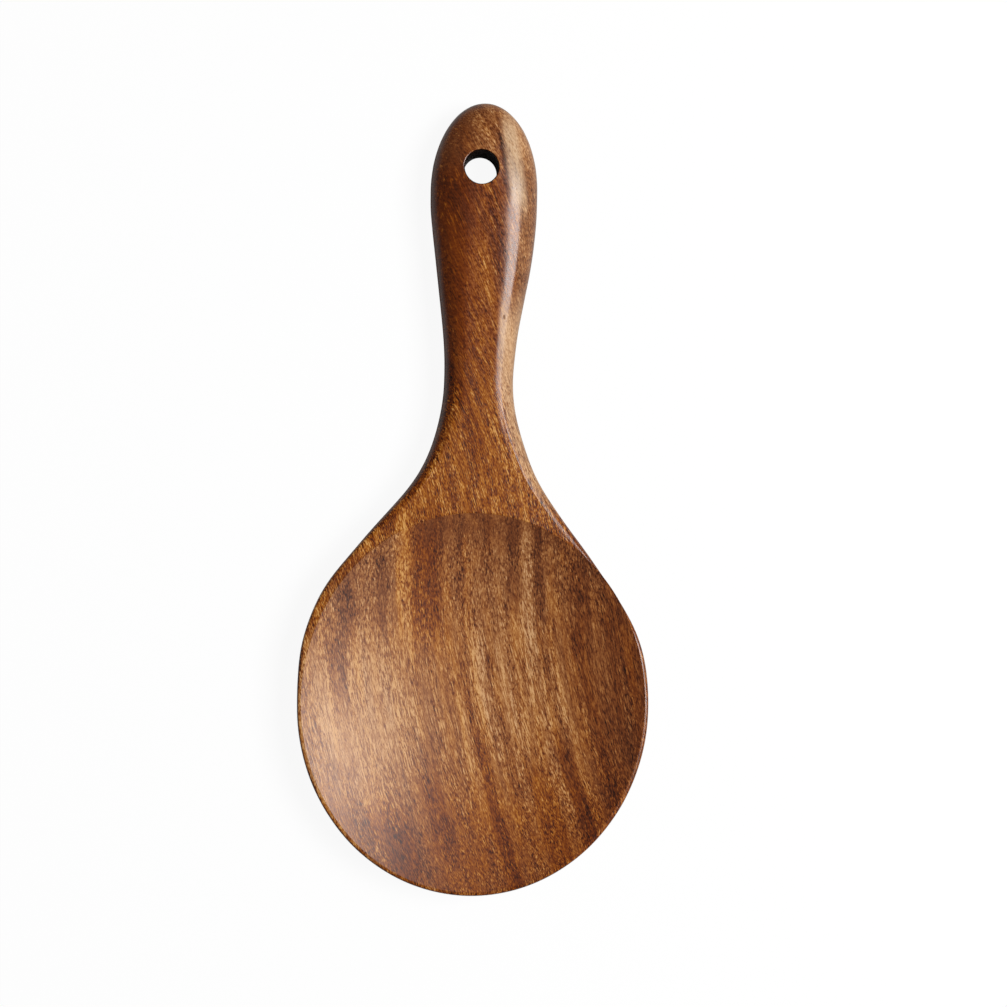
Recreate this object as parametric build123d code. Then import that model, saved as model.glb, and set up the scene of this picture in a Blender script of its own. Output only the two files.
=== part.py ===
# Wooden rice paddle, carved from one board: a round dished head, flat shoulders,
# a narrow neck and a full rounded grip with a hang hole.
# Millimetres. The paddle lies on its back: +Z is up, out of the dish, and +Y runs
# from the tip of the head to the butt of the handle. The origin is under the
# middle of the paddle, on the surface that it lies on.

import os
from dataclasses import dataclass

from build123d import *

# Lengths along the paddle
overall_length = 237.4
head_reach = 56.8  # from the tip to the line where the head is widest
butt_reach = 26.5  # from the line where the grip is fullest to the butt end
neck_reach = 56.7  # from that line back to the narrowest part of the neck

# Widths
head_width = 105.0
neck_width = 20.7
grip_width = 32.1

# Heights over the table
rim_height = 15.0  # the flat face of the board, at the rim, shoulders and neck
grip_height = 17.0  # the top of the grip, where it is fullest
neck_lift = 2.2  # the underside of the neck
sole_depth = 0.8  # how much of the rounded back is planed off flat

# Rounding of the top edge: how far in from the outline it starts
rim_round = 1.0
neck_round = 6.0
grip_round = 12.0

# Dish
dish_depth = 9.0
dish_reach = 56.6  # from the middle of the dish to its end at the tip
rim_width = 1.3  # from the outside of the head to the dish
rim_nose = 1.4  # from the flat face down to the outermost line of the rim

# Hang hole
hole_diameter = 10.1
hole_inset = 20.2  # from the butt end to the middle of the hole
hole_shift = -1.1  # the hole is drilled a little to the left
hole_edge_radius = 0.4

overrun = 5.0  # how far each cutting tool runs past what it cuts

# The widest line of the neck and grip, as a share of their thickness
neck_nose_share = 0.52
grip_nose_share = 0.50

# How full a rounded edge is: the share of its height and width that its curve's
# handles take
edge_fullness_share = 0.6

# How full the back is: the share of its height that it drops before it turns, and
# the share of its width that it then lies flat
head_back_shares = (0.12, 0.58)
neck_back_shares = (0.62, 0.56)
grip_back_shares = (0.62, 0.55)

# The outline between the head's widest line, at 0, and the narrowest part of the
# neck, at 1: the place, and the share of the head's extra half width that is left
# on the left and the right. The paddle is shaped by hand, so its sides differ.
shoulder_shares = (
    (0.000, 1.000, 1.000),
    (0.025, 1.000, 0.999),
    (0.110, 0.995, 0.981),
    (0.200, 0.965, 0.932),
    (0.290, 0.897, 0.834),
    (0.360, 0.817, 0.729),
    (0.420, 0.718, 0.630),
    (0.480, 0.606, 0.530),
    (0.545, 0.482, 0.414),
    (0.610, 0.350, 0.304),
    (0.670, 0.238, 0.212),
    (0.730, 0.153, 0.140),
    (0.800, 0.086, 0.079),
    (0.870, 0.043, 0.030),
    (0.935, 0.018, 0.000),
)

# The same between the neck, at 0, and the grip's fullest line, at 1, as shares of
# the grip's extra half width
handle_shares = (
    (0.00, 0.075, -0.070),
    (0.11, 0.085, -0.010),
    (0.25, 0.190, 0.135),
    (0.385, 0.350, 0.362),
    (0.52, 0.525, 0.610),
    (0.66, 0.695, 0.825),
    (0.79, 0.865, 0.950),
    (0.88, 0.965, 0.995),
    (0.95, 0.992, 1.000),
    (1.00, 1.000, 1.000),
)

# Where, on the way from head to neck, the edge and the back change, as shares of
# that way
edge_change_shares = (0.30, 1.0)
back_change_shares = (0.35, 1.0)

tip_y = -overall_length / 2
head_y = tip_y + head_reach
butt_y = overall_length / 2
grip_y = butt_y - butt_reach
neck_y = grip_y - neck_reach
hole_y = butt_y - hole_inset
dish_y = tip_y + rim_width + dish_reach

head_half = head_width / 2
neck_half = neck_width / 2
grip_half = grip_width / 2


@dataclass
class Section:
    """One slice across the paddle, without its two half widths."""

    top: float
    nose: float
    bottom: float
    edge: float
    back_shares: tuple


head_section = Section(
    rim_height, rim_height - rim_nose, -sole_depth, rim_round, head_back_shares
)
neck_section = Section(
    rim_height,
    neck_lift + neck_nose_share * (rim_height - neck_lift),
    neck_lift,
    neck_round,
    neck_back_shares,
)
grip_section = Section(
    grip_height, grip_nose_share * grip_height, 0, grip_round, grip_back_shares
)


def mix(a, b, share):
    """The value that share of the way from a to b, for a number or a pair."""
    if isinstance(a, tuple):
        return tuple(mix(p, q, share) for p, q in zip(a, b))
    return a + (b - a) * share


def ease(place, window=(0.0, 1.0)):
    """A soft step from 0 to 1 across the window."""
    start, end = window
    t = min(max((place - start) / (end - start), 0), 1)
    return t * t * (3 - 2 * t)


def section_between(a, b, edge, back):
    """The section that lies edge of the way from a to b, and its back back of it."""
    return Section(
        mix(a.top, b.top, edge),
        mix(a.nose, b.nose, edge),
        mix(a.bottom, b.bottom, back),
        mix(a.edge, b.edge, edge),
        mix(a.back_shares, b.back_shares, back),
    )


def edge_curve(half, section, side, y):
    """The rounded top edge, from the outermost point in to the flat face."""
    inner = half - section.edge
    return Bezier(
        (side * half, y, section.nose),
        (side * half, y, mix(section.nose, section.top, edge_fullness_share)),
        (side * mix(inner, half, edge_fullness_share), y, section.top),
        (side * inner, y, section.top),
    )


def back_curve(half, section, side, y):
    """The rounded back, from the outermost point in to the middle line."""
    drop_share, flat_share = section.back_shares
    return Bezier(
        (side * half, y, section.nose),
        (side * half, y, mix(section.nose, section.bottom, drop_share)),
        (side * half * flat_share, y, section.bottom),
        (0, y, section.bottom),
    )


def slice_face(section, left_half, right_half, y):
    """A whole slice of the paddle at y."""
    left_edge = edge_curve(left_half, section, -1, y)
    right_edge = edge_curve(right_half, section, 1, y)
    flat = Line(right_edge @ 1, left_edge @ 1)
    left_back = back_curve(left_half, section, -1, y)
    right_back = back_curve(right_half, section, 1, y)
    return Face(Wire([right_edge, flat, left_edge, left_back, right_back]))


def round_end(section, half, reach, y, towards):
    """Half a turned form that closes the paddle past y, drawn out to its reach."""
    edge = edge_curve(half, section, 1, 0)
    back = back_curve(half, section, 1, 0)
    flat = Line(edge @ 1, (0, 0, section.top))
    middle = Line((0, 0, section.top), (0, 0, section.bottom))
    profile = Face(Wire([edge, flat, middle, back]))
    turned = revolve(profile, Axis((0, 0, 0), (0, 0, towards)), 180)
    return Pos(0, y, 0) * scale(turned, by=(1, reach / half, 1), about=(0, 0, 0))


def body_slices():
    """Every slice from the head's widest line to the grip's fullest line."""
    slices = []
    for place, left_share, right_share in shoulder_shares:
        section = section_between(
            head_section,
            neck_section,
            ease(place, edge_change_shares),
            ease(place, back_change_shares),
        )
        left_half = mix(neck_half, head_half, left_share)
        right_half = mix(neck_half, head_half, right_share)
        y = mix(head_y, neck_y, place)
        slices.append(slice_face(section, left_half, right_half, y))
    for place, left_share, right_share in handle_shares:
        section = section_between(
            neck_section, grip_section, ease(place), ease(place)
        )
        left_half = mix(neck_half, grip_half, left_share)
        right_half = mix(neck_half, grip_half, right_share)
        y = mix(neck_y, grip_y, place)
        slices.append(slice_face(section, left_half, right_half, y))
    return slices


def dish_tool():
    """The dished hollow: part of a ball, drawn out along the head."""
    half = head_half - rim_width
    ball_radius = (half**2 + dish_depth**2) / (2 * dish_depth)
    drawn = scale(Sphere(ball_radius), by=(1, dish_reach / half, 1), about=(0, 0, 0))
    return Pos(0, dish_y, rim_height - dish_depth + ball_radius) * drawn


def hole_tool():
    """The hang hole's drill."""
    length = grip_height + 2 * overrun
    return Pos(hole_shift, hole_y, grip_height / 2) * Cylinder(hole_diameter / 2, length)


def plane_tool():
    """Planes off what the head's back reaches below the table."""
    depth = sole_depth + overrun
    length = neck_y - tip_y + 2 * overrun
    middle_y = (tip_y + neck_y) / 2
    return Pos(0, middle_y, -depth / 2) * Box(head_width + 2 * overrun, length, depth)


def with_rounded_hole(body):
    """Rounds over both ends of the hang hole, the only cylinder in the body."""
    wall = body.faces().filter_by(GeomType.CYLINDER)
    rims = wall.edges().filter_by(GeomType.LINE, reverse=True)
    return fillet(rims, hole_edge_radius)


def paddle():
    """The whole paddle, which is one piece of wood."""
    head_end = round_end(head_section, head_half, head_reach, head_y, -1)
    butt_end = round_end(grip_section, grip_half, butt_reach, grip_y, 1)
    body = loft(body_slices()) + head_end + butt_end
    carved = body - plane_tool() - dish_tool() - hole_tool()
    return with_rounded_hole(carved)


def main():
    os.makedirs("parts", exist_ok=True)
    whole = paddle()
    print("solids", len(whole.solids()), "volume", round(whole.volume))
    print("box", whole.bounding_box())
    export_step(whole, "parts/paddle.step")


main()
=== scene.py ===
"""A carved wooden rice paddle, photographed from above on a white table.

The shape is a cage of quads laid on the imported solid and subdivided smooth. The wood
is one solid texture on object coordinates, so the grain runs on over every edge.
"""

import math

import bmesh
import bpy
from mathutils import Matrix, Vector
from mathutils.bvhtree import BVHTree


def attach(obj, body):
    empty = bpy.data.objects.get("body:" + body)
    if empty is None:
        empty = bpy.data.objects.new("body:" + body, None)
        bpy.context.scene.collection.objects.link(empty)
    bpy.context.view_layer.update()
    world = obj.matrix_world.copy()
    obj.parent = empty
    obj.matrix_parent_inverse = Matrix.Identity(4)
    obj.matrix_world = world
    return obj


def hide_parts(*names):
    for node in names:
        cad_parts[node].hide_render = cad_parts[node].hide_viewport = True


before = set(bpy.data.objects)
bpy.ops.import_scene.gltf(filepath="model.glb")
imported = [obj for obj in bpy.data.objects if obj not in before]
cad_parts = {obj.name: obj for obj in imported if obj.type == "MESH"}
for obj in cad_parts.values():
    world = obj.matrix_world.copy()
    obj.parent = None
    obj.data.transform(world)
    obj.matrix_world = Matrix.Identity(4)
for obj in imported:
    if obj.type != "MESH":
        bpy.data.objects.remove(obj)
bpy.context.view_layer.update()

MM = 0.001

# The solid's lines that the cage follows, in millimetres
DISH_CENTRE = -60.8
DISH_X = 51.2
DISH_Y = 56.6
DISH_DEPTH = 9.0
RIM_TOP = 15.0
GRIP_Y = 92.2
GRIP_X = 16.05
BUTT_REACH = 26.5
HOLE_X = -1.1
HOLE_Y = 98.5
HOLE_RADIUS = 5.05
HOLE_ROUND = 0.4
ARRIS = 0.25  # half the width over which the dish's edge is sanded round

# How the solid is felt for: rays start well outside it, and the outline is the
# outermost of the hits at many heights
FAR = 200
MIDDLE_Z = 8
OUTLINE_HEIGHTS = [5.5 + step * 0.25 for step in range(40)]

# How the cage is divided. The stations stand evenly round the rim, the first of them
# to the right of the dish's middle, and the handle's columns start from the neck's.
RIM_PARTS = 48
NECK_PARTS = 12
LEFT_STATION = (RIM_PARTS + 2 * NECK_PARTS) // 4
RIGHT_STATION = LEFT_STATION - NECK_PARTS
NECK_STATIONS = range(LEFT_STATION, RIGHT_STATION - 1, -1)
LAND_STATIONS = range(LEFT_STATION, RIGHT_STATION + RIM_PARTS + 1)
ROWS = 40  # rows up the handle, of which the hang hole takes some
HOLE_ROWS = (29, 37)
HOLE_COLUMNS = (2, 10)
HOLE_LOW = 90.65  # where those rows meet the handle's sides
HOLE_HIGH = 106.35
HOLE_APPROACH = 5  # rows over which the columns lean towards the hole
HEAD_CURVE_ROWS = 16  # rows over which the dish's curve dies out of them
CORNER_DEGREES = (145.0, 140.5, 135.0)  # between the last rows and the butt
FIRST_RING = 0.19  # the dish's rings, against its edge
DISH_RINGS = (0.34, 0.48, 0.61, 0.73, 0.84, 0.93)
BACK_SHARE = 0.7  # the back's rings against the dish's

# The stretches along the paddle over which its edge changes
HEAD_TO_NECK = (-45, 25)
NECK_TO_GRIP = (30, 80)

# How far in the rounded edge's rings lie: the last one in millimetres, and those
# between as shares of the way to it, each on the head and on the handle
TOP_INSET = 1.05
BACK_INSET = 8.0
NECK_INSET = 3.4
GRIP_INSET = 4.2
LAND_LIMIT_SHARE = 0.81
TOP_EDGE_SHARES = ((0.5, 0.45), (0.13, 0.12))
BACK_EDGE_SHARES = ((0.05, 0.12), (0.38, 0.45))

# The hang hole's rings: a flat one round the rounding, and those down its wall
HOLE_LAND = 0.4
ROUNDING_SHARE = 0.29  # where the rounding's middle lies across it
WALL_SHARES = (0, 0.05, 0.3, 0.7, 0.95, 1)

FIT_ROUNDS = 8
EASE_ROUNDS = 8
CORNER = (7.8, 108.8, 2.6)  # the handle's last corners: x, y and the reach to even out
DISH_SHARE = 0.985  # the dish within its sanded edge

TOP = 1
BACK = -1

# The studio, in metres, watts and degrees
LAMP_PLACE = (0.59, 0.06, 0.945)
LAMP_SIZE = (0.5, 0.52)
LAMP_POWER = 13.2
ROOM_LIGHT = 0.1
CARD_WHITE = 0.93  # the camera sees that share of white, and the lit table for the rest
TABLE_REACH = 3  # from the table's middle to its edges
CAMERA_PLACE = (-0.021, 0.0021, 0.61794)
CAMERA_TARGET = (0.00766, -0.00128, 0.014)
CAMERA_LEAN = 1.2565
CAMERA_LENS = 72.45  # millimetres


def rgb(red, green, blue):
    """A colour as its screen values, 0 to 255, made linear."""
    def linear(value):
        share = value / 255
        return share / 12.92 if share <= 0.04045 else ((share + 0.055) / 1.055) ** 2.4
    return (linear(red), linear(green), linear(blue))


WHITE = (1, 1, 1, 1)
GREY = (0.5, 0.5, 0.5, 1)

# The wood's tones from its darkest to its palest: tan, and the warmer honey
TAN_TONES = (
    (0.0, rgb(20, 12, 8)),
    (0.25, rgb(66, 31, 15)),
    (0.40, rgb(103, 53, 24)),
    (0.50, rgb(128, 73, 37)),
    (0.60, rgb(153, 97, 53)),
    (0.70, rgb(178, 124, 76)),
    (0.85, rgb(216, 169, 122)),
)
HONEY_TONES = (
    (0.0, rgb(20, 9, 4)),
    (0.25, rgb(66, 26, 8)),
    (0.40, rgb(103, 44, 9)),
    (0.50, rgb(128, 62, 12)),
    (0.60, rgb(153, 84, 20)),
    (0.70, rgb(178, 110, 38)),
    (0.85, rgb(216, 160, 90)),
)

# The pale wood in the streaks along the butt, the neck's edge and the right flank, where it
# also carries painted highlights
SAPWOOD = (*rgb(205, 180, 150), 1)

# The ribbons of the figure: place across the grain, half width, first and last
# height along the paddle, change of tone and change of warmth
RIBBONS = (
    (-44.0, 3.4, -42, -26, -0.13, -0.1),
    (-48.5, 3.5, -62, -42, -0.11, 0.1),
    (-54.5, 3.5, -75, -48, 0.06, 0.1),
    (-32.0, 2.6, -40, -18, -0.09, -0.1),
    (-24.5, 3.4, -48, 8, 0.08, 0.45),
    (-17.5, 5.5, -40, -10, -0.10, 0.55),
    (-24.5, 4.0, -104, -84, -0.07, 0.4),
    (-12.8, 1.8, -34, -8, -0.07, 0.1),
    (-6.0, 1.6, -34, -12, -0.08, 0.0),
    (-10.0, 2.0, -88, -60, 0.05, -0.1),
    (-8.0, 1.6, -80, -50, -0.09, 0.1),
    (-6.4, 2.4, -118, -74, -0.10, 0.35),
    (-2.5, 2.4, -66, -42, 0.06, -0.2),
    (0.5, 1.6, -54, -40, -0.06, 0.0),
    (2.0, 2.0, -22, -4, -0.06, 0.1),
    (2.0, 1.8, -90, -58, -0.06, 0.0),
    (4.5, 2.6, -72, -44, 0.05, -0.1),
    (10.0, 2.6, -32, -8, -0.12, -0.3),
    (9.0, 4.4, -112, -82, -0.06, 0.4),
    (14.0, 2.0, -50, -8, 0.06, -0.3),
    (16.8, 2.0, -36, -8, -0.10, -0.2),
    (16.5, 1.8, -60, -42, -0.07, 0.0),
    (18.0, 2.8, -104, -72, -0.14, 0.2),
    (20.5, 1.8, -78, -50, 0.05, 0.0),
    (26.5, 3.0, -104, -40, -0.07, 0.1),
    (28.0, 3.0, -40, -16, -0.05, 0.1),
    (32.0, 2.2, -60, -24, 0.05, 0.0),
    (-38.0, 6.0, -118, -96, -0.08, 0.2),
    (3.0, 3.0, 8, 34, -0.05, 0.2),
    (24.0, 4.0, 44, 76, 0.06, 0.0),
    (43.5, 1.6, 98, 116, -0.10, -0.1),
    (16.0, 0.7, -72, -46, 0.10, 0.0),
    (25.5, 0.8, -82, -50, 0.09, 0.0),
    (-2.8, 0.6, -70, -52, 0.08, -0.1),
    (12.0, 0.8, -66, -26, 0.07, 0.0),
)

# What each region of the paddle adds to the wood's tone and to its warmth
REGION_CHANGES = {
    # The head as a whole, and the parts of its dish, with a painted sheen on the dish's left
    # and painted shade at its upper end
    "middle": (0.05, 0),
    "left": (0.09, 0),
    "right": (-0.13, 0),
    "far_right": (-0.08, 0),
    "core": (0, 0.2),
    "tip": (-0.06, 0),
    "tip_glow": (0, 0.35),
    "head_end": (-0.03, -0.3),
    "lip": (-0.065, -0.15),
    # The flat face, the land between dish and rim with a painted sheen on its left, and the
    # rim's outer edge with painted shade
    "flat": (-0.03, 0.63),
    "land": (0, -0.63),
    "land_sheen": (0.08, 0),
    "rim": (-0.3, 0),
    "shoulder": (0.015, 0),
    # The neck and the handle, with painted shade along the left side and painted highlights on
    # pale wood along the right
    "neck": (-0.03, 0),
    "waist": (-0.03, 0),
    "shade": (-0.15, 0),
    "pale": (0.08, -0.5),
    "flank": (0, -1),
    "dull": (-0.04, 0),
    "gold": (0.03, 0),
    "pale_edge_and_highlight": (0.14, -0.6),
    "dim": (-0.14, 0),
    # The butt, its pale streak with a painted highlight on it, and the dark seam beside that
    "butt": (0.15, -0.9),
    "pale_streak_and_highlight": (0.12, -0.8),
    "seam": (-0.13, 0),
    # The hang hole's wall, darker as end grain and with painted shade, and a small pit in the
    # handle's edge
    "bored": (-0.5, 0),
    "pit": (-0.3, 0),
}
PIT = (6.6, 54.2)

# The plain wood's tone, from 0 at the darkest brown to 1 at the palest tan, and its
# warmth, from 0 at tan to 1 at honey
TONE = 0.625
WARMTH = 0.37
RIBBON_STRENGTH = 1.2
RIBBON_ENDS = (9, 7)  # how far past its ends and within them a ribbon fades


class Solid:
    """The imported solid, as a surface to lay points on. Works in millimetres."""

    def __init__(self, node):
        shape = bmesh.new()
        shape.from_mesh(node.data)
        bmesh.ops.remove_doubles(shape, verts=shape.verts, dist=MM * 0.001)
        bmesh.ops.scale(shape, vec=Vector((1, 1, 1)) / MM, verts=shape.verts)
        self.tree = BVHTree.FromBMesh(shape)
        shape.free()

    def drop(self, place, side):
        """A place in plan, laid on the solid's top or back."""
        start = Vector((place.x, place.y, FAR * side))
        hit = self.tree.ray_cast(start, Vector((0, 0, -side)))[0]
        if hit:
            return hit
        return self.tree.find_nearest(Vector((place.x, place.y, MIDDLE_Z)))[0]

    def outline(self, centre, way):
        """The outermost point of the outline from the centre that way."""
        best = None
        for height in OUTLINE_HEIGHTS:
            start = centre + way * FAR
            start.z = height
            hit = self.tree.ray_cast(start, -way)[0]
            if hit and (best is None or (hit - best).dot(way) > 0):
                best = hit
        return best


def mix(a, b, share):
    return a + (b - a) * share


def smooth(value, low=0.0, high=1.0):
    share = min(max((value - low) / (high - low), 0), 1)
    return share * share * (3 - 2 * share)


def neckness(y):
    """0 on the head, 1 from the neck on."""
    return smooth(y, *HEAD_TO_NECK)


def ellipse(degrees, half_x, half_y, centre_y=0, z=0.0):
    angle = math.radians(degrees)
    return Vector((half_x * math.cos(angle), centre_y + half_y * math.sin(angle), z))


def degrees_at(station):
    return 360 / RIM_PARTS * station


def on_dish(station, share=1.0, offset=0.0, z=0.0):
    """A station's place on the dish's edge, on a ring within it, or off it."""
    half_x = DISH_X * share + offset
    half_y = DISH_Y * share + offset
    return ellipse(degrees_at(station), half_x, half_y, DISH_CENTRE, z)


def side_heights(first):
    """How far up the handle each row meets its side, from row 1 on."""
    low, high = HOLE_ROWS
    rows = [mix(first, HOLE_LOW, (r - 1) / (low - 1)) for r in range(1, low)]
    rows += [mix(HOLE_LOW, HOLE_HIGH, (r - low) / (high - low)) for r in range(low, high)]
    rows.append(HOLE_HIGH)
    return rows


def outline_parts(solid):
    """Points round the whole outline: land, left side, butt, right side."""
    land = []
    for station in LAND_STATIONS:
        way = ellipse(degrees_at(station), 1 / DISH_X, 1 / DISH_Y).normalized()
        land.append(solid.outline(on_dish(station), way))
    left = []
    right = []
    for side, points, first in ((-1, left, land[0].y), (1, right, land[-1].y)):
        for y in side_heights(first)[1:]:
            points.append(solid.outline(Vector((0, y, 0)), Vector((side, 0, 0))))
        for degrees in CORNER_DEGREES:
            way = ellipse(degrees, -side * GRIP_X, BUTT_REACH).normalized()
            points.append(solid.outline(Vector((0, GRIP_Y, 0)), way))
    butt = []
    for station in NECK_STATIONS[1:-1]:
        way = ellipse(degrees_at(station), GRIP_X, BUTT_REACH).normalized()
        butt.append(solid.outline(Vector((0, GRIP_Y, 0)), way))
    return land, left, butt, right


class Outline:
    """The outline's points in one ring, with their ways out."""

    def __init__(self, solid):
        land, left, butt, right = outline_parts(solid)
        self.points = land[::-1] + left + butt + right[::-1]
        count = len(self.points)
        self.ways = []
        for i in range(count):
            along = self.points[(i + 1) % count] - self.points[i - 1]
            self.ways.append(Vector((-along.y, along.x, 0)).normalized())
        self.stations = LAND_STATIONS[::-1]
        self.land_count = len(self.stations)

    def last_ring(self, side):
        """The last ring of the outline's rounding, on the top or the back."""
        places = []
        for i, point in enumerate(self.points):
            handle_inset = mix(NECK_INSET, GRIP_INSET, smooth(point.y, *NECK_TO_GRIP))
            head_inset = TOP_INSET if side == TOP else BACK_INSET
            inset = mix(head_inset, handle_inset, neckness(point.y))
            if side == TOP and i < self.land_count:
                edge = on_dish(self.stations[i])
                gap = (point - edge).xy.length
                place = point.lerp(edge, min(inset / gap, LAND_LIMIT_SHARE))
                places.append(Vector((place.x, place.y, 0)))
            else:
                places.append(point - self.ways[i] * inset)
        return places


def grow(shape, ring, places, closed=True):
    """Extrudes a row of points to new places and returns the new row."""
    pairs = list(zip(ring, ring[1:] + ring[:1] if closed else ring[1:]))
    edges = [shape.edges.get(pair) for pair in pairs]
    made = bmesh.ops.extrude_edge_only(shape, edges=edges)["geom"]
    fresh = {v for v in made if isinstance(v, bmesh.types.BMVert)}
    grown = []
    for vert, place in zip(ring, places):
        twin = next(e.other_vert(vert) for e in vert.link_edges if e.other_vert(vert) in fresh)
        twin.co = place
        grown.append(twin)
    return grown


def bowl(shape, solid, side):
    """The dish, or the back under it, from its middle out. Returns its last ring."""
    share = 1 if side == TOP else BACK_SHARE

    def ring_at(radius):
        stations = range(RIM_PARTS)
        return [solid.drop(on_dish(station, radius * share), side) for station in stations]

    made = bmesh.ops.create_circle(shape, cap_ends=True, segments=RIM_PARTS, radius=1)
    ring = sorted(made["verts"], key=lambda v: math.atan2(v.co.y, v.co.x) % math.tau)
    cap = ring[0].link_faces[0]
    for vert, place in zip(ring, ring_at(FIRST_RING)):
        vert.co = place
    middle = bmesh.ops.poke(shape, faces=[cap])["verts"][0]
    middle.co = solid.drop(on_dish(0, 0), side)
    for radius in DISH_RINGS:
        ring = grow(shape, ring, ring_at(radius))
    return ring if side == TOP else grow(shape, ring, ring_at(1))


def dish_edge(shape, solid, outline, ring, last):
    """Sands the dish's edge round: a ring within it, one on it and one outside it."""
    stations = range(RIM_PARTS)
    places = [solid.drop(on_dish(s, offset=-ARRIS), TOP) for s in stations]
    ring = grow(shape, ring, places)
    ring = grow(shape, ring, [on_dish(s, z=RIM_TOP) for s in stations])
    steps = [ARRIS] * RIM_PARTS
    for station, place in zip(outline.stations, last):
        gap = (place - on_dish(station)).length
        steps[station % RIM_PARTS] = min(ARRIS, gap / 2)
    places = [solid.drop(on_dish(s, offset=step), TOP) for s, step in zip(stations, steps)]
    return grow(shape, ring, places)


def handle_rows(shape, solid, neck, left, butt, right, side):
    """The rows of quads up the handle, from the neck's arc to the butt's."""
    span = neck[-1].co.x - neck[0].co.x
    shares = [(v.co.x - neck[0].co.x) / span for v in neck]
    low_bulge = [v.co.y - mix(left[0].y, right[0].y, s) for v, s in zip(neck, shares)]
    high_bulge = [p.y - mix(left[-1].y, right[-1].y, s) for p, s in zip(butt, shares)]
    hole_start, hole_end = HOLE_ROWS
    rows = [neck]
    for r in range(1, ROWS + 1):
        low = 1 - smooth(r, 0, HEAD_CURVE_ROWS)
        high = max(r - hole_end, 0) / (ROWS - hole_end)
        near_hole = smooth(r, hole_start - HOLE_APPROACH, hole_start) * (1 - high)
        places = []
        for c, s in enumerate(shares):
            place = left[r].lerp(right[r], s)
            place.y += low_bulge[c] * low + high_bulge[c] * high
            if r == ROWS:
                place.x = butt[c].x
            inner = 1 - abs(2 * s - 1) ** 4
            place.x += HOLE_X * near_hole * inner
            places.append(solid.drop(place, side))
        rows.append(grow(shape, rows[-1], places, False))
    return rows


def open_hole(shape, rows):
    """Takes out the rows' quads where the hang hole goes and returns their edge."""
    low, high = HOLE_ROWS
    first, final = HOLE_COLUMNS
    loop = [rows[high][c] for c in range(final, first, -1)]
    loop += [rows[r][first] for r in range(high, low, -1)]
    loop += [rows[low][c] for c in range(first, final)]
    loop += [rows[r][final] for r in range(low, high)]
    inside = {rows[r][c] for r in range(low, high + 1) for c in range(first, final + 1)}
    block = [f for f in shape.faces if all(v in inside for v in f.verts)]
    bmesh.ops.delete(shape, geom=block, context="FACES")
    return loop


def face_patch(shape, solid, outline, side):
    """The top or the back within the rounded edge. Returns its ring and its hole."""
    last = outline.last_ring(side)
    ring = bowl(shape, solid, side)
    if side == TOP:
        ring = dish_edge(shape, solid, outline, ring, last)
    neck = [ring[station % RIM_PARTS] for station in NECK_STATIONS]
    land = [ring[station % RIM_PARTS] for station in outline.stations]
    count = outline.land_count
    land = grow(shape, land, [solid.drop(p, side) for p in last[:count]], False)

    end = count + ROWS - 1
    left = [neck[0].co.copy(), last[count - 1], *last[count:end]]
    right = [neck[-1].co.copy(), last[0], *last[:-ROWS:-1]]
    butt = [left[-1], *last[end : end + NECK_PARTS - 1], right[-1]]
    rows = handle_rows(shape, solid, neck, left, butt, right, side)
    loop = open_hole(shape, rows)

    bmesh.ops.weld_verts(shape, targetmap={rows[1][0]: land[-1], rows[1][-1]: land[0]})
    sides = [rows[r][0] for r in range(2, ROWS)]
    others = [rows[r][-1] for r in range(2, ROWS)]
    return land + sides + rows[-1] + others[::-1], loop


def close_outline(shape, solid, outline, top_ring, back_ring):
    """Rounds the top over the outermost line and on to the back."""
    def between(inner_places, shares, side):
        found = []
        for point, inner in zip(outline.points, inner_places):
            share = mix(*shares, neckness(point.y))
            found.append(solid.drop(point.lerp(inner, share), side))
        return found

    top_places = [v.co.copy() for v in top_ring]
    back_places = [v.co.copy() for v in back_ring]
    ring = top_ring
    for shares in TOP_EDGE_SHARES:
        ring = grow(shape, ring, between(top_places, shares, TOP))
    ring = grow(shape, ring, outline.points)
    for shares in BACK_EDGE_SHARES:
        ring = grow(shape, ring, between(back_places, shares, BACK))
    ring = grow(shape, ring, back_places)
    bmesh.ops.weld_verts(shape, targetmap=dict(zip(ring, back_ring)))


def close_hole(shape, solid, top_loop, back_loop):
    """Carries the top's loop through the hang hole to the back's."""
    middle = Vector((HOLE_X, HOLE_Y, 0))
    count = len(top_loop)
    corner = 45  # both loops start at their upper right corners
    degrees = [corner + 360 / count * i for i in range(count)]

    def around(radius):
        return [middle + ellipse(angle, radius, radius) for angle in degrees]

    rim = HOLE_RADIUS + HOLE_ROUND
    radii = (rim + HOLE_LAND, rim, HOLE_RADIUS + HOLE_ROUND * ROUNDING_SHARE)
    upper = [solid.drop(p, TOP).z - HOLE_ROUND for p in around(rim)]
    lower = [solid.drop(p, BACK).z + HOLE_ROUND for p in around(rim)]
    loop = top_loop
    for radius in radii:
        loop = grow(shape, loop, [solid.drop(p, TOP) for p in around(radius)])
    for share in WALL_SHARES:
        places = around(HOLE_RADIUS)
        for place, high, low in zip(places, upper, lower):
            place.z = mix(high, low, share)
        loop = grow(shape, loop, places)
    for radius in reversed(radii):
        loop = grow(shape, loop, [solid.drop(p, BACK) for p in around(radius)])
    loop = grow(shape, loop, [v.co.copy() for v in back_loop])
    bmesh.ops.weld_verts(shape, targetmap=dict(zip(loop, back_loop)))


def cage(solid):
    """The whole cage of quads, laid on the solid, in millimetres."""
    shape = bmesh.new()
    outline = Outline(solid)
    top_ring, top_loop = face_patch(shape, solid, outline, TOP)
    back_ring, back_loop = face_patch(shape, solid, outline, BACK)
    close_outline(shape, solid, outline, top_ring, back_ring)
    close_hole(shape, solid, top_loop, back_loop)
    bmesh.ops.recalc_face_normals(shape, faces=shape.faces)
    return shape


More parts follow.
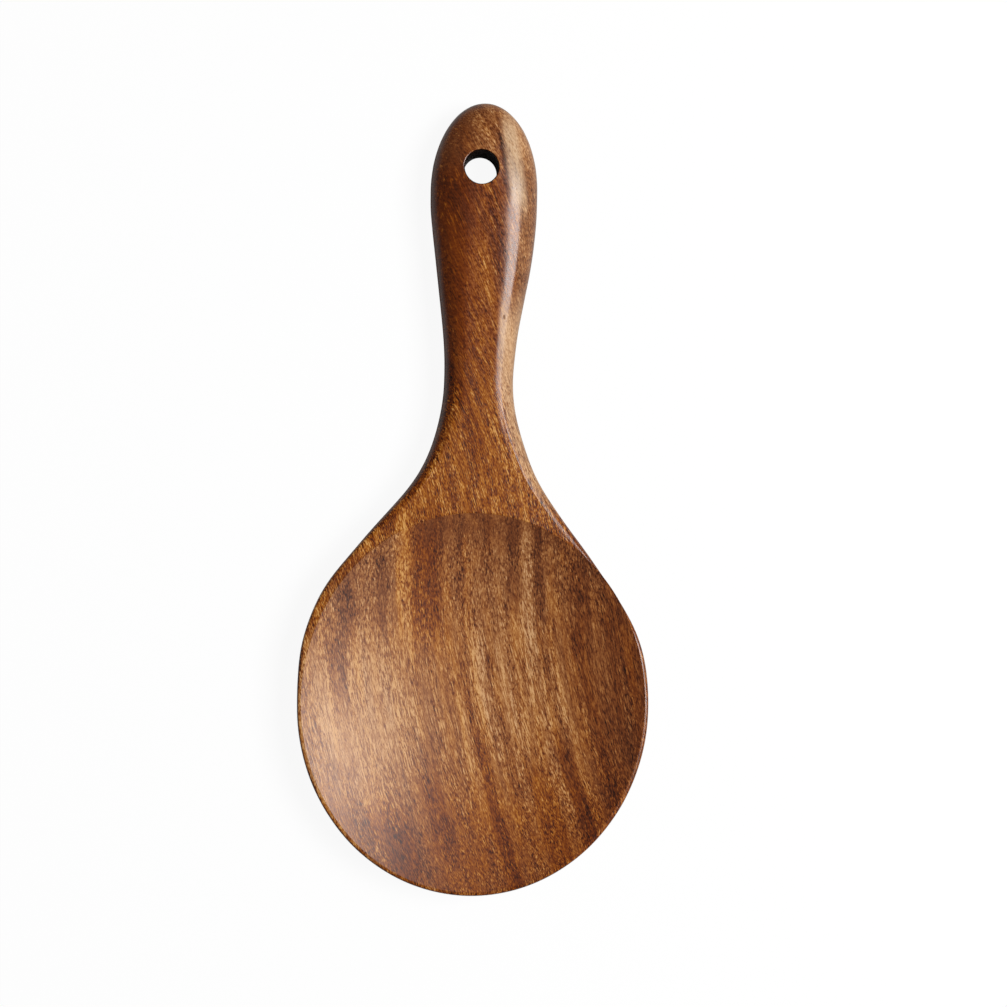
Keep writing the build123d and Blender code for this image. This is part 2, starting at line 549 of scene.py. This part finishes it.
def subdivided(piece, levels):
    """The piece's mesh with that many levels of subdivision."""
    modifier = piece.modifiers.new("smooth", "SUBSURF")
    modifier.levels = modifier.render_levels = levels
    graph = bpy.context.evaluated_depsgraph_get()
    graph.update()
    mesh = bpy.data.meshes.new_from_object(piece.evaluated_get(graph))
    piece.modifiers.remove(modifier)
    return mesh


def fit(piece):
    """Moves the cage's points out until the smooth surface passes where they were."""
    wanted = [v.co.copy() for v in piece.data.vertices]
    for _ in range(FIT_ROUNDS):
        mesh = subdivided(piece, 1)
        for vert, goal in zip(piece.data.vertices, wanted):
            vert.co += goal - mesh.vertices[vert.index].co
        bpy.data.meshes.remove(mesh)


def ease(mesh, x, y, reach):
    """Evens out the mesh where three of the cage's quads meet, left and right."""
    shape = bmesh.new()
    shape.from_mesh(mesh)
    near = [v for v in shape.verts if math.hypot(abs(v.co.x) - x, v.co.y - y) < reach]
    for _ in range(EASE_ROUNDS):
        bmesh.ops.smooth_vert(
            shape, verts=near, factor=0.5, use_axis_x=True, use_axis_y=True, use_axis_z=True
        )
    shape.to_mesh(mesh)
    shape.free()


def true_up(mesh):
    """Lays the dish on the ball that it is cut with, and all else over the table."""
    ball = (DISH_X**2 + DISH_DEPTH**2) / (2 * DISH_DEPTH)
    up = [vert.normal.z > 0.5 for vert in mesh.vertices]
    for vert in mesh.vertices:
        spot = vert.co
        spot.z = max(spot.z, 0)
        out = math.hypot(spot.x / DISH_X, (spot.y - DISH_CENTRE) / DISH_Y)
        if out < DISH_SHARE and up[vert.index]:
            spot.z = RIM_TOP - DISH_DEPTH + ball - math.sqrt(ball**2 - (out * DISH_X) ** 2)


def carve(name):
    """The paddle's finished mesh, in metres."""
    shape = cage(Solid(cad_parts["paddle"]))
    piece = bpy.data.objects.new(name, bpy.data.meshes.new(name))
    bpy.context.scene.collection.objects.link(piece)
    shape.to_mesh(piece.data)
    shape.free()
    fit(piece)
    mesh = subdivided(piece, 2)
    mesh.name = name
    ease(mesh, *CORNER)
    piece.data = mesh
    true_up(mesh)
    mesh.transform(Matrix.Scale(MM, 4))
    for face in mesh.polygons:
        face.use_smooth = True
    return piece


class Wire:
    """A value in a node tree. Sums written with it add Math nodes."""

    def __init__(self, tree, socket):
        self.tree = tree
        self.socket = socket

    def sum(self, operation, *others):
        inputs = dict(enumerate((self, *others)))
        return self.tree.node("Math", {"operation": operation}, inputs)[0]

    def __add__(self, other):
        return self.sum("ADD", other)

    def __sub__(self, other):
        return self.sum("SUBTRACT", other)

    def __mul__(self, other):
        return self.sum("MULTIPLY", other)

    def __truediv__(self, other):
        return self.sum("DIVIDE", other)

    def __pow__(self, other):
        return self.sum("POWER", other)

    def __neg__(self):
        return self * -1

    def __radd__(self, other):
        return self + other

    def __rmul__(self, other):
        return self * other

    def __rsub__(self, other):
        return -self + other

    def clamped(self):
        return self.sum("MINIMUM", 1).sum("MAXIMUM", 0)

    def size(self):
        return self.sum("ABSOLUTE")


class Tree:
    """A material's or a world's nodes, which are added by one method."""

    def __init__(self, owner):
        owner.use_nodes = True
        self.graph = owner.node_tree
        self.graph.nodes.clear()

    def node(self, kind, settings=None, inputs=None):
        """Adds a node and returns its outputs as wires."""
        made = self.graph.nodes.new("ShaderNode" + kind)
        for key, value in (settings or {}).items():
            if key == "stops":
                ramp = made.color_ramp
                while len(ramp.elements) < len(value):
                    ramp.elements.new(1)
                for stop, (place, colour) in zip(ramp.elements, value):
                    stop.position = place
                    stop.color = (*colour, 1)
            else:
                setattr(made, key, value)
        for key, value in (inputs or {}).items():
            if isinstance(value, Wire):
                self.graph.links.new(value.socket, made.inputs[key])
            else:
                made.inputs[key].default_value = value
        return [Wire(self, output) for output in made.outputs]

    def step(self, value, low, high):
        """0 up to low, 1 from high on and smooth between."""
        settings = {"interpolation_type": "SMOOTHSTEP"}
        inputs = {0: value, 1: low, 2: high, 3: 0.0, 4: 1.0}
        return self.node("MapRange", settings, inputs)[0]

    def band(self, value, middle, outer, inner):
        """1 within inner of the middle, 0 past outer and smooth between."""
        return self.step((value - middle).size(), outer, inner)

    def noise(self, place, sizes, detail=0, roughness=0.5):
        """Noise about zero, in blotches of those sizes along the place's three ways."""
        scaled = {i: wire / size for i, (wire, size) in enumerate(zip(place, sizes))}
        vector = self.node("CombineXYZ", None, scaled)[0]
        inputs = {"Vector": vector, "Scale": 1.0, "Detail": detail, "Roughness": roughness}
        return self.node("TexNoise", {"noise_dimensions": "3D"}, inputs)[0] - 0.5

    def blend(self, share, a, b):
        """Colour a turning into colour b."""
        settings = {"data_type": "RGBA", "clamp_factor": True}
        return self.node("Mix", settings, {0: share, 6: a, 7: b})[2]


def grain(tree, x, y, z):
    """How far across the grain a point lies, and how far along, in millimetres.

    The board is sawn a little aslant, so its layers lean along and through it, and
    lean more towards the butt.
    """
    curve = (y - 20).sum("SMOOTH_MAX", 0.0, 30.0)
    across = x + y * 0.18 + curve * 0.24 + (15 - z) * 0.55
    slow = tree.noise((across, y, z), (30.8, 56, 30.8), 2)
    quick = tree.noise((across, y, z), (2.4, 16.8, 2.4), 2)
    return across + slow * 3.2 + quick * 0.6, y - x * 0.18


class Streaks:
    """The fine streaks along the grain, from threads to clouds, each about zero."""

    def __init__(self, tree, across, along, y, z):
        fibre = (across + y * 0.1, along, z)
        band = (across, along, z)
        aslant = (across - y * 0.1, along, z)
        self.thread = tree.noise(fibre, (0.28, 3, 0.3))
        self.grit = tree.noise(fibre, (0.27, 0.95, 0.3))
        self.dash = tree.noise(fibre, (0.3, 2.6, 0.5))
        self.hair = tree.noise(fibre, (0.5, 13, 0.6), 1, 0.6)
        self.layer = tree.noise(fibre, (1.5, 26, 1.5), 1, 0.7)
        self.scoring = tree.noise(aslant, (1.6, 24, 1.6), 1, 0.7)
        self.curl = tree.noise(band, (1.6, 0.8, 1.6), 1, 0.6)
        self.strand = tree.noise(band, (1.2, 22, 1.2), 1, 0.7)
        self.streak = tree.noise(band, (2.4, 55, 2.4), 1, 0.8)
        self.cloud = tree.noise(band, (6, 50, 6), 2, 0.6)
        # 0 in the closer strips of the wood, 1 in the more open ones
        self.strip = tree.step(tree.noise(band, (4, 40, 4), 1), -0.15, 0.12)


def head_regions(tree, x, y, z, across):
    """The head's regions, each a wire from 0 outside it to 1 within it."""
    out = ((x / DISH_X) ** 2 + ((y - DISH_CENTRE) / DISH_Y) ** 2)
    dish = tree.step(out, 1.004, 0.993) * tree.step(z, 15.2, 15.0)
    land = (1 - dish) * tree.step(y, -34, -50)
    rim_edge_shade = tree.step(out, 1.026, 1.05) * tree.step(y, -40, -52)
    return {
        "dish": dish,
        "middle": tree.band(y, -58, 56, 6),
        # Painted sheen: paler where the lamp's reflection lies, low on the dish's left
        "left": tree.step(((x + 33) / 18) ** 2 + ((y + 68) / 31) ** 2, 1.2, 0.1),
        "right": tree.step(across, 12, 34),
        "far_right": tree.step(x, 32, 44) * dish,
        "core": tree.band(across, -14, 16, 8) * dish,
        "tip": tree.step(y, -86, -108),
        "tip_glow": tree.step(y, -76, -98),
        # Painted shade: the dish's upper end, whose wall turns from the lamp, darker still
        # just inside its edge
        "head_end": tree.step(y, -46, -8) * dish,
        "lip": tree.step(y, -18, -7) * tree.step(x, -21, -17) * dish,
        "flat": 1 - dish,
        "land": land,
        # Painted sheen on the land between dish and rim, on the left
        "land_sheen": land * tree.step(x, 0, -20),
        # Painted shade on the rim's outer rounded edge, round the lower head but not on its
        # right
        "rim": rim_edge_shade * tree.step(x, 34, 22),
    }


def neck_regions(tree, x, y, z):
    """The neck, and its rounded edges down to the shoulders: pale wood with a painted
    highlight along the right, painted shade along the left.
    """
    spread = (36 - y).sum("MAXIMUM", 0)
    half = spread * spread * 0.009 + 10.4
    reach = tree.step(y, 26, 42) * 1.9 + 4.4
    upper = tree.step(z, 4, 9)
    # Pale wood with a painted highlight along the right rounded edge
    pale_edge_and_highlight = tree.step((half - x) / reach, 1.0, 0.65) * tree.step(y, -10, 6)
    # Painted shade along the left rounded edge
    dim = tree.step(half + x, 2.9, 2.2) * tree.step(y, -14, -4)
    return {
        "neck": tree.band(y, 41, 14, 5),
        "pale_edge_and_highlight": pale_edge_and_highlight * tree.step(y, 66, 50) * upper,
        "dim": dim * tree.step(y, 50, 36) * upper,
    }


def handle_regions(tree, x, y, z):
    """The handle's regions, from the neck to the pale streak of the butt, which carries a
    painted highlight.
    """
    handle = tree.step(y, 26, 56)
    slant = x + (y - 104) * 0.15 - 8
    hole = ((x - HOLE_X) ** 2 + (y - HOLE_Y) ** 2)
    pit_x, pit_y = PIT
    pit = ((x - pit_x) / 0.4) ** 2 + ((y - pit_y + (x - pit_x) * 0.6) / 0.8) ** 2
    return {
        "handle": handle,
        "shade": tree.step(x, 0.5, -8) * handle,
        # Cooler, paler wood on the handle's right flank, with a painted sheen
        "flank": tree.step(x, 9, 11.5) * handle,
        # Pale wood with a painted highlight, down the handle's right side
        "pale": tree.step(x, 4.5, 8) * tree.step(y, 12, 36),
        "waist": tree.band(y, 61, 12, 3),
        "dull": tree.band(x, 4.8, 2, 0.5) * tree.band(y, 68, 22, 10),
        "gold": tree.band(x, -0.5, 5, 1) * tree.band(y, 73, 18, 6),
        "butt": tree.step(y, 92, 106),
        # A pale streak with a painted highlight, by the right of the hang hole
        "pale_streak_and_highlight": tree.band(slant, 0, 3.6, 0.8) * tree.band(y, 100, 18, 8),
        "seam": tree.band(slant, -2.9, 1.1, 0.3) * tree.band(y, 102, 18, 8),
        # Darker end grain with painted shade inside the hang hole
        "bored": tree.step(hole, (HOLE_RADIUS + 0.3) ** 2, (HOLE_RADIUS + 0.05) ** 2),
        "pit": tree.step(pit, 1.0, 0.4) * tree.step(z, 8, 9),
    }


def figure(tree, across, y):
    """The ribbons' change of tone and of warmth, each drawn where it lies."""
    tone = warmth = 0
    for place, width, low, high, change, warm in RIBBONS:
        body = tree.band(across, place, width, width * 0.5)
        half = (high - low) / 2
        past, within = RIBBON_ENDS
        ribbon = body * tree.band(y, (low + high) / 2, half + past, half - within)
        tone = ribbon * (change * RIBBON_STRENGTH) + tone
        if warm:
            warmth = ribbon * warm + warmth
    return tone, warmth


def pores(tree, region, streaks):
    """Short dark dashes, which lie thicker in some strips than in others."""
    flat, handle, strip = region["flat"], region["handle"], streaks.strip
    dots = tree.step(streaks.grit, 0.04, 0.16) * (1 - flat * 0.6 + handle * 0.1)
    dashes = tree.step(streaks.dash, 0.05, 0.17)
    dashes = dashes * (flat * 0.7 - handle * 0.55 + strip * 0.25)
    return (dots + dashes).clamped() * (0.55 + strip * 0.45)


def fine_tone(region, streaks):
    """The streaks' change of tone."""
    flat, handle, shoulder = region["flat"], region["handle"], region["shoulder"]
    fine = streaks.strand * 0.16 + streaks.hair * (flat * 0.08 + 0.3)
    fine = fine + streaks.thread * (0.52 - flat * 0.1 - handle * 0.12)
    fine = fine + streaks.grit * (0.66 - flat * 0.12 + handle * 0.12)
    fine = fine * (streaks.strip * 0.5 + 0.76 + shoulder * 0.3)
    fine = fine * (1 - region["shade"] * 0.55 - region["lip"] * 0.45)
    curl = streaks.curl * (handle * 0.2 + shoulder * 0.08)
    return fine + curl + streaks.cloud * (0.14 - handle * 0.06) + streaks.streak * 0.16


def line_tone(tree, region, streaks):
    """The hairlines between growth layers, drawn where a slow noise crosses a value."""
    handle, hair = region["handle"], streaks.hair
    dark = tree.band(streaks.layer, 0, 0.04, 0.0) * tree.step(hair, -0.1, 0.1)
    glints = tree.band(streaks.layer, 0.12, 0.04, 0.0) * tree.step(hair, 0.1, -0.1)
    scores = tree.band(streaks.scoring, 0, 0.03, 0.0) * tree.step(hair, -0.04, 0.14)
    return glints * (1 - handle) * 0.1 + scores * handle * 0.2 - dark * (0.16 - handle * 0.1)


def wood():
    """Ribbon-figured hardwood, oiled to a satin face."""
    material = bpy.data.materials.new("oiled_wood")
    tree = Tree(material)
    place = tree.node("TexCoord")[3]
    x, y, z = [wire / MM for wire in tree.node("SeparateXYZ", None, {0: place})]
    across, along = grain(tree, x, y, z)
    streaks = Streaks(tree, across, along, y, z)
    region = head_regions(tree, x, y, z, across)
    region.update(neck_regions(tree, x, y, z))
    region.update(handle_regions(tree, x, y, z))
    region["shoulder"] = region["flat"] * tree.step(y, 40, 16)

    tone, warmth = figure(tree, across + streaks.streak * 2.4 + streaks.strand, y)
    for name, (change, warm) in REGION_CHANGES.items():
        if change:
            tone = region[name] * change + tone
        if warm:
            warmth = region[name] * warm + warmth
    open_grain = pores(tree, region, streaks)
    tone = tone + TONE - open_grain * 0.19
    tone = tone + fine_tone(region, streaks) + line_tone(tree, region, streaks)
    warmth = warmth + WARMTH + (streaks.cloud + streaks.streak) * 1.1

    tan = tree.node("ValToRGB", {"stops": TAN_TONES}, {0: tone})[0]
    honey = tree.node("ValToRGB", {"stops": HONEY_TONES}, {0: tone})[0]
    colour = tree.blend(warmth.clamped(), tan, honey)
    # Pale wood, blended in where highlights are also painted
    pale_and_highlight = region["pale_streak_and_highlight"] * 0.55 + region["pale_edge_and_highlight"] * 0.3 + region["flank"] * 0.12
    pale_and_highlight = pale_and_highlight - open_grain * 0.3 + streaks.grit * pale_and_highlight * 1.4
    colour = tree.blend(pale_and_highlight, colour, SAPWOOD)

    rough = region["dish"] * 0.11 + 0.26 + open_grain * 0.06
    rough = rough + (streaks.grit + streaks.curl) * region["handle"] * 0.12
    rough = rough + region["pit"] * 0.4 + region["pale_edge_and_highlight"] * 0.16
    bump_inputs = {"Height": 1 - open_grain, "Strength": 0.12, "Distance": 0.08 * MM}
    face = tree.node("Bump", None, bump_inputs)[0]
    inputs = {
        "Base Color": colour,
        "Roughness": rough,
        "Specular IOR Level": 0.37,
        "Normal": face,
    }
    surface = tree.node("BsdfPrincipled", None, inputs)[0]
    tree.node("OutputMaterial", None, {0: surface})
    return material


def white_card():
    """White card, which stays white to the camera but keeps the paddle's shadow."""
    material = bpy.data.materials.new("white_card")
    tree = Tree(material)
    seen = tree.node("LightPath")[0]
    card = tree.node("BsdfDiffuse", None, {"Color": tree.blend(seen, GREY, WHITE)})[0]
    glow = tree.node("Emission", None, {"Color": WHITE, "Strength": 1.0})[0]
    surface = tree.node("MixShader", None, {0: seen * CARD_WHITE, 1: card, 2: glow})[0]
    tree.node("OutputMaterial", None, {0: surface})
    return material


def table():
    shape = bmesh.new()
    bmesh.ops.create_grid(shape, x_segments=1, y_segments=1, size=TABLE_REACH)
    mesh = bpy.data.meshes.new("table")
    shape.to_mesh(mesh)
    shape.free()
    mesh.materials.append(white_card())
    piece = bpy.data.objects.new("table", mesh)
    bpy.context.scene.collection.objects.link(piece)


def facing(place, target, up):
    """The placing of a lamp or camera that looks from its place at the target."""
    back = (place - target).normalized()
    right = up.cross(back).normalized()
    turned = Matrix((right, back.cross(right), back)).transposed().to_4x4()
    return Matrix.Translation(place) @ turned


def room():
    """An even, dim room, which the camera sees as white."""
    world = bpy.data.worlds.new("studio")
    bpy.context.scene.world = world
    tree = Tree(world)
    seen = tree.node("LightPath")[0]
    dim = tree.node("Background", None, {"Color": WHITE, "Strength": ROOM_LIGHT})[0]
    white = tree.node("Background", None, {"Color": WHITE, "Strength": 1.0})[0]
    both = tree.node("MixShader", None, {0: seen, 1: dim, 2: white})[0]
    tree.node("OutputWorld", None, {0: both})


def lamp():
    """One soft lamp to the right, whose reflection runs down the handle's right side."""
    light = bpy.data.lights.new("key", "AREA")
    light.shape = "RECTANGLE"
    light.size, light.size_y = LAMP_SIZE
    light.energy = LAMP_POWER
    piece = bpy.data.objects.new("key", light)
    piece.matrix_world = facing(Vector(LAMP_PLACE), Vector(), Vector((0, 1, 0)))
    bpy.context.scene.collection.objects.link(piece)


def camera():
    """The photograph's view: from above, a little left of the paddle's middle."""
    seen = bpy.data.cameras.new("camera")
    seen.lens = CAMERA_LENS
    seen.clip_start = 0.01
    piece = bpy.data.objects.new("camera", seen)
    lean = math.radians(CAMERA_LEAN)
    up = Vector((-math.sin(lean), math.cos(lean), 0))
    piece.matrix_world = facing(Vector(CAMERA_PLACE), Vector(CAMERA_TARGET), up)
    bpy.context.scene.collection.objects.link(piece)
    bpy.context.scene.camera = piece


paddle = carve("paddle_wood")
paddle.data.materials.append(wood())
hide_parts("paddle")
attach(paddle, "root")

table()
room()
lamp()
camera()
bpy.context.scene.view_settings.view_transform = "Standard"
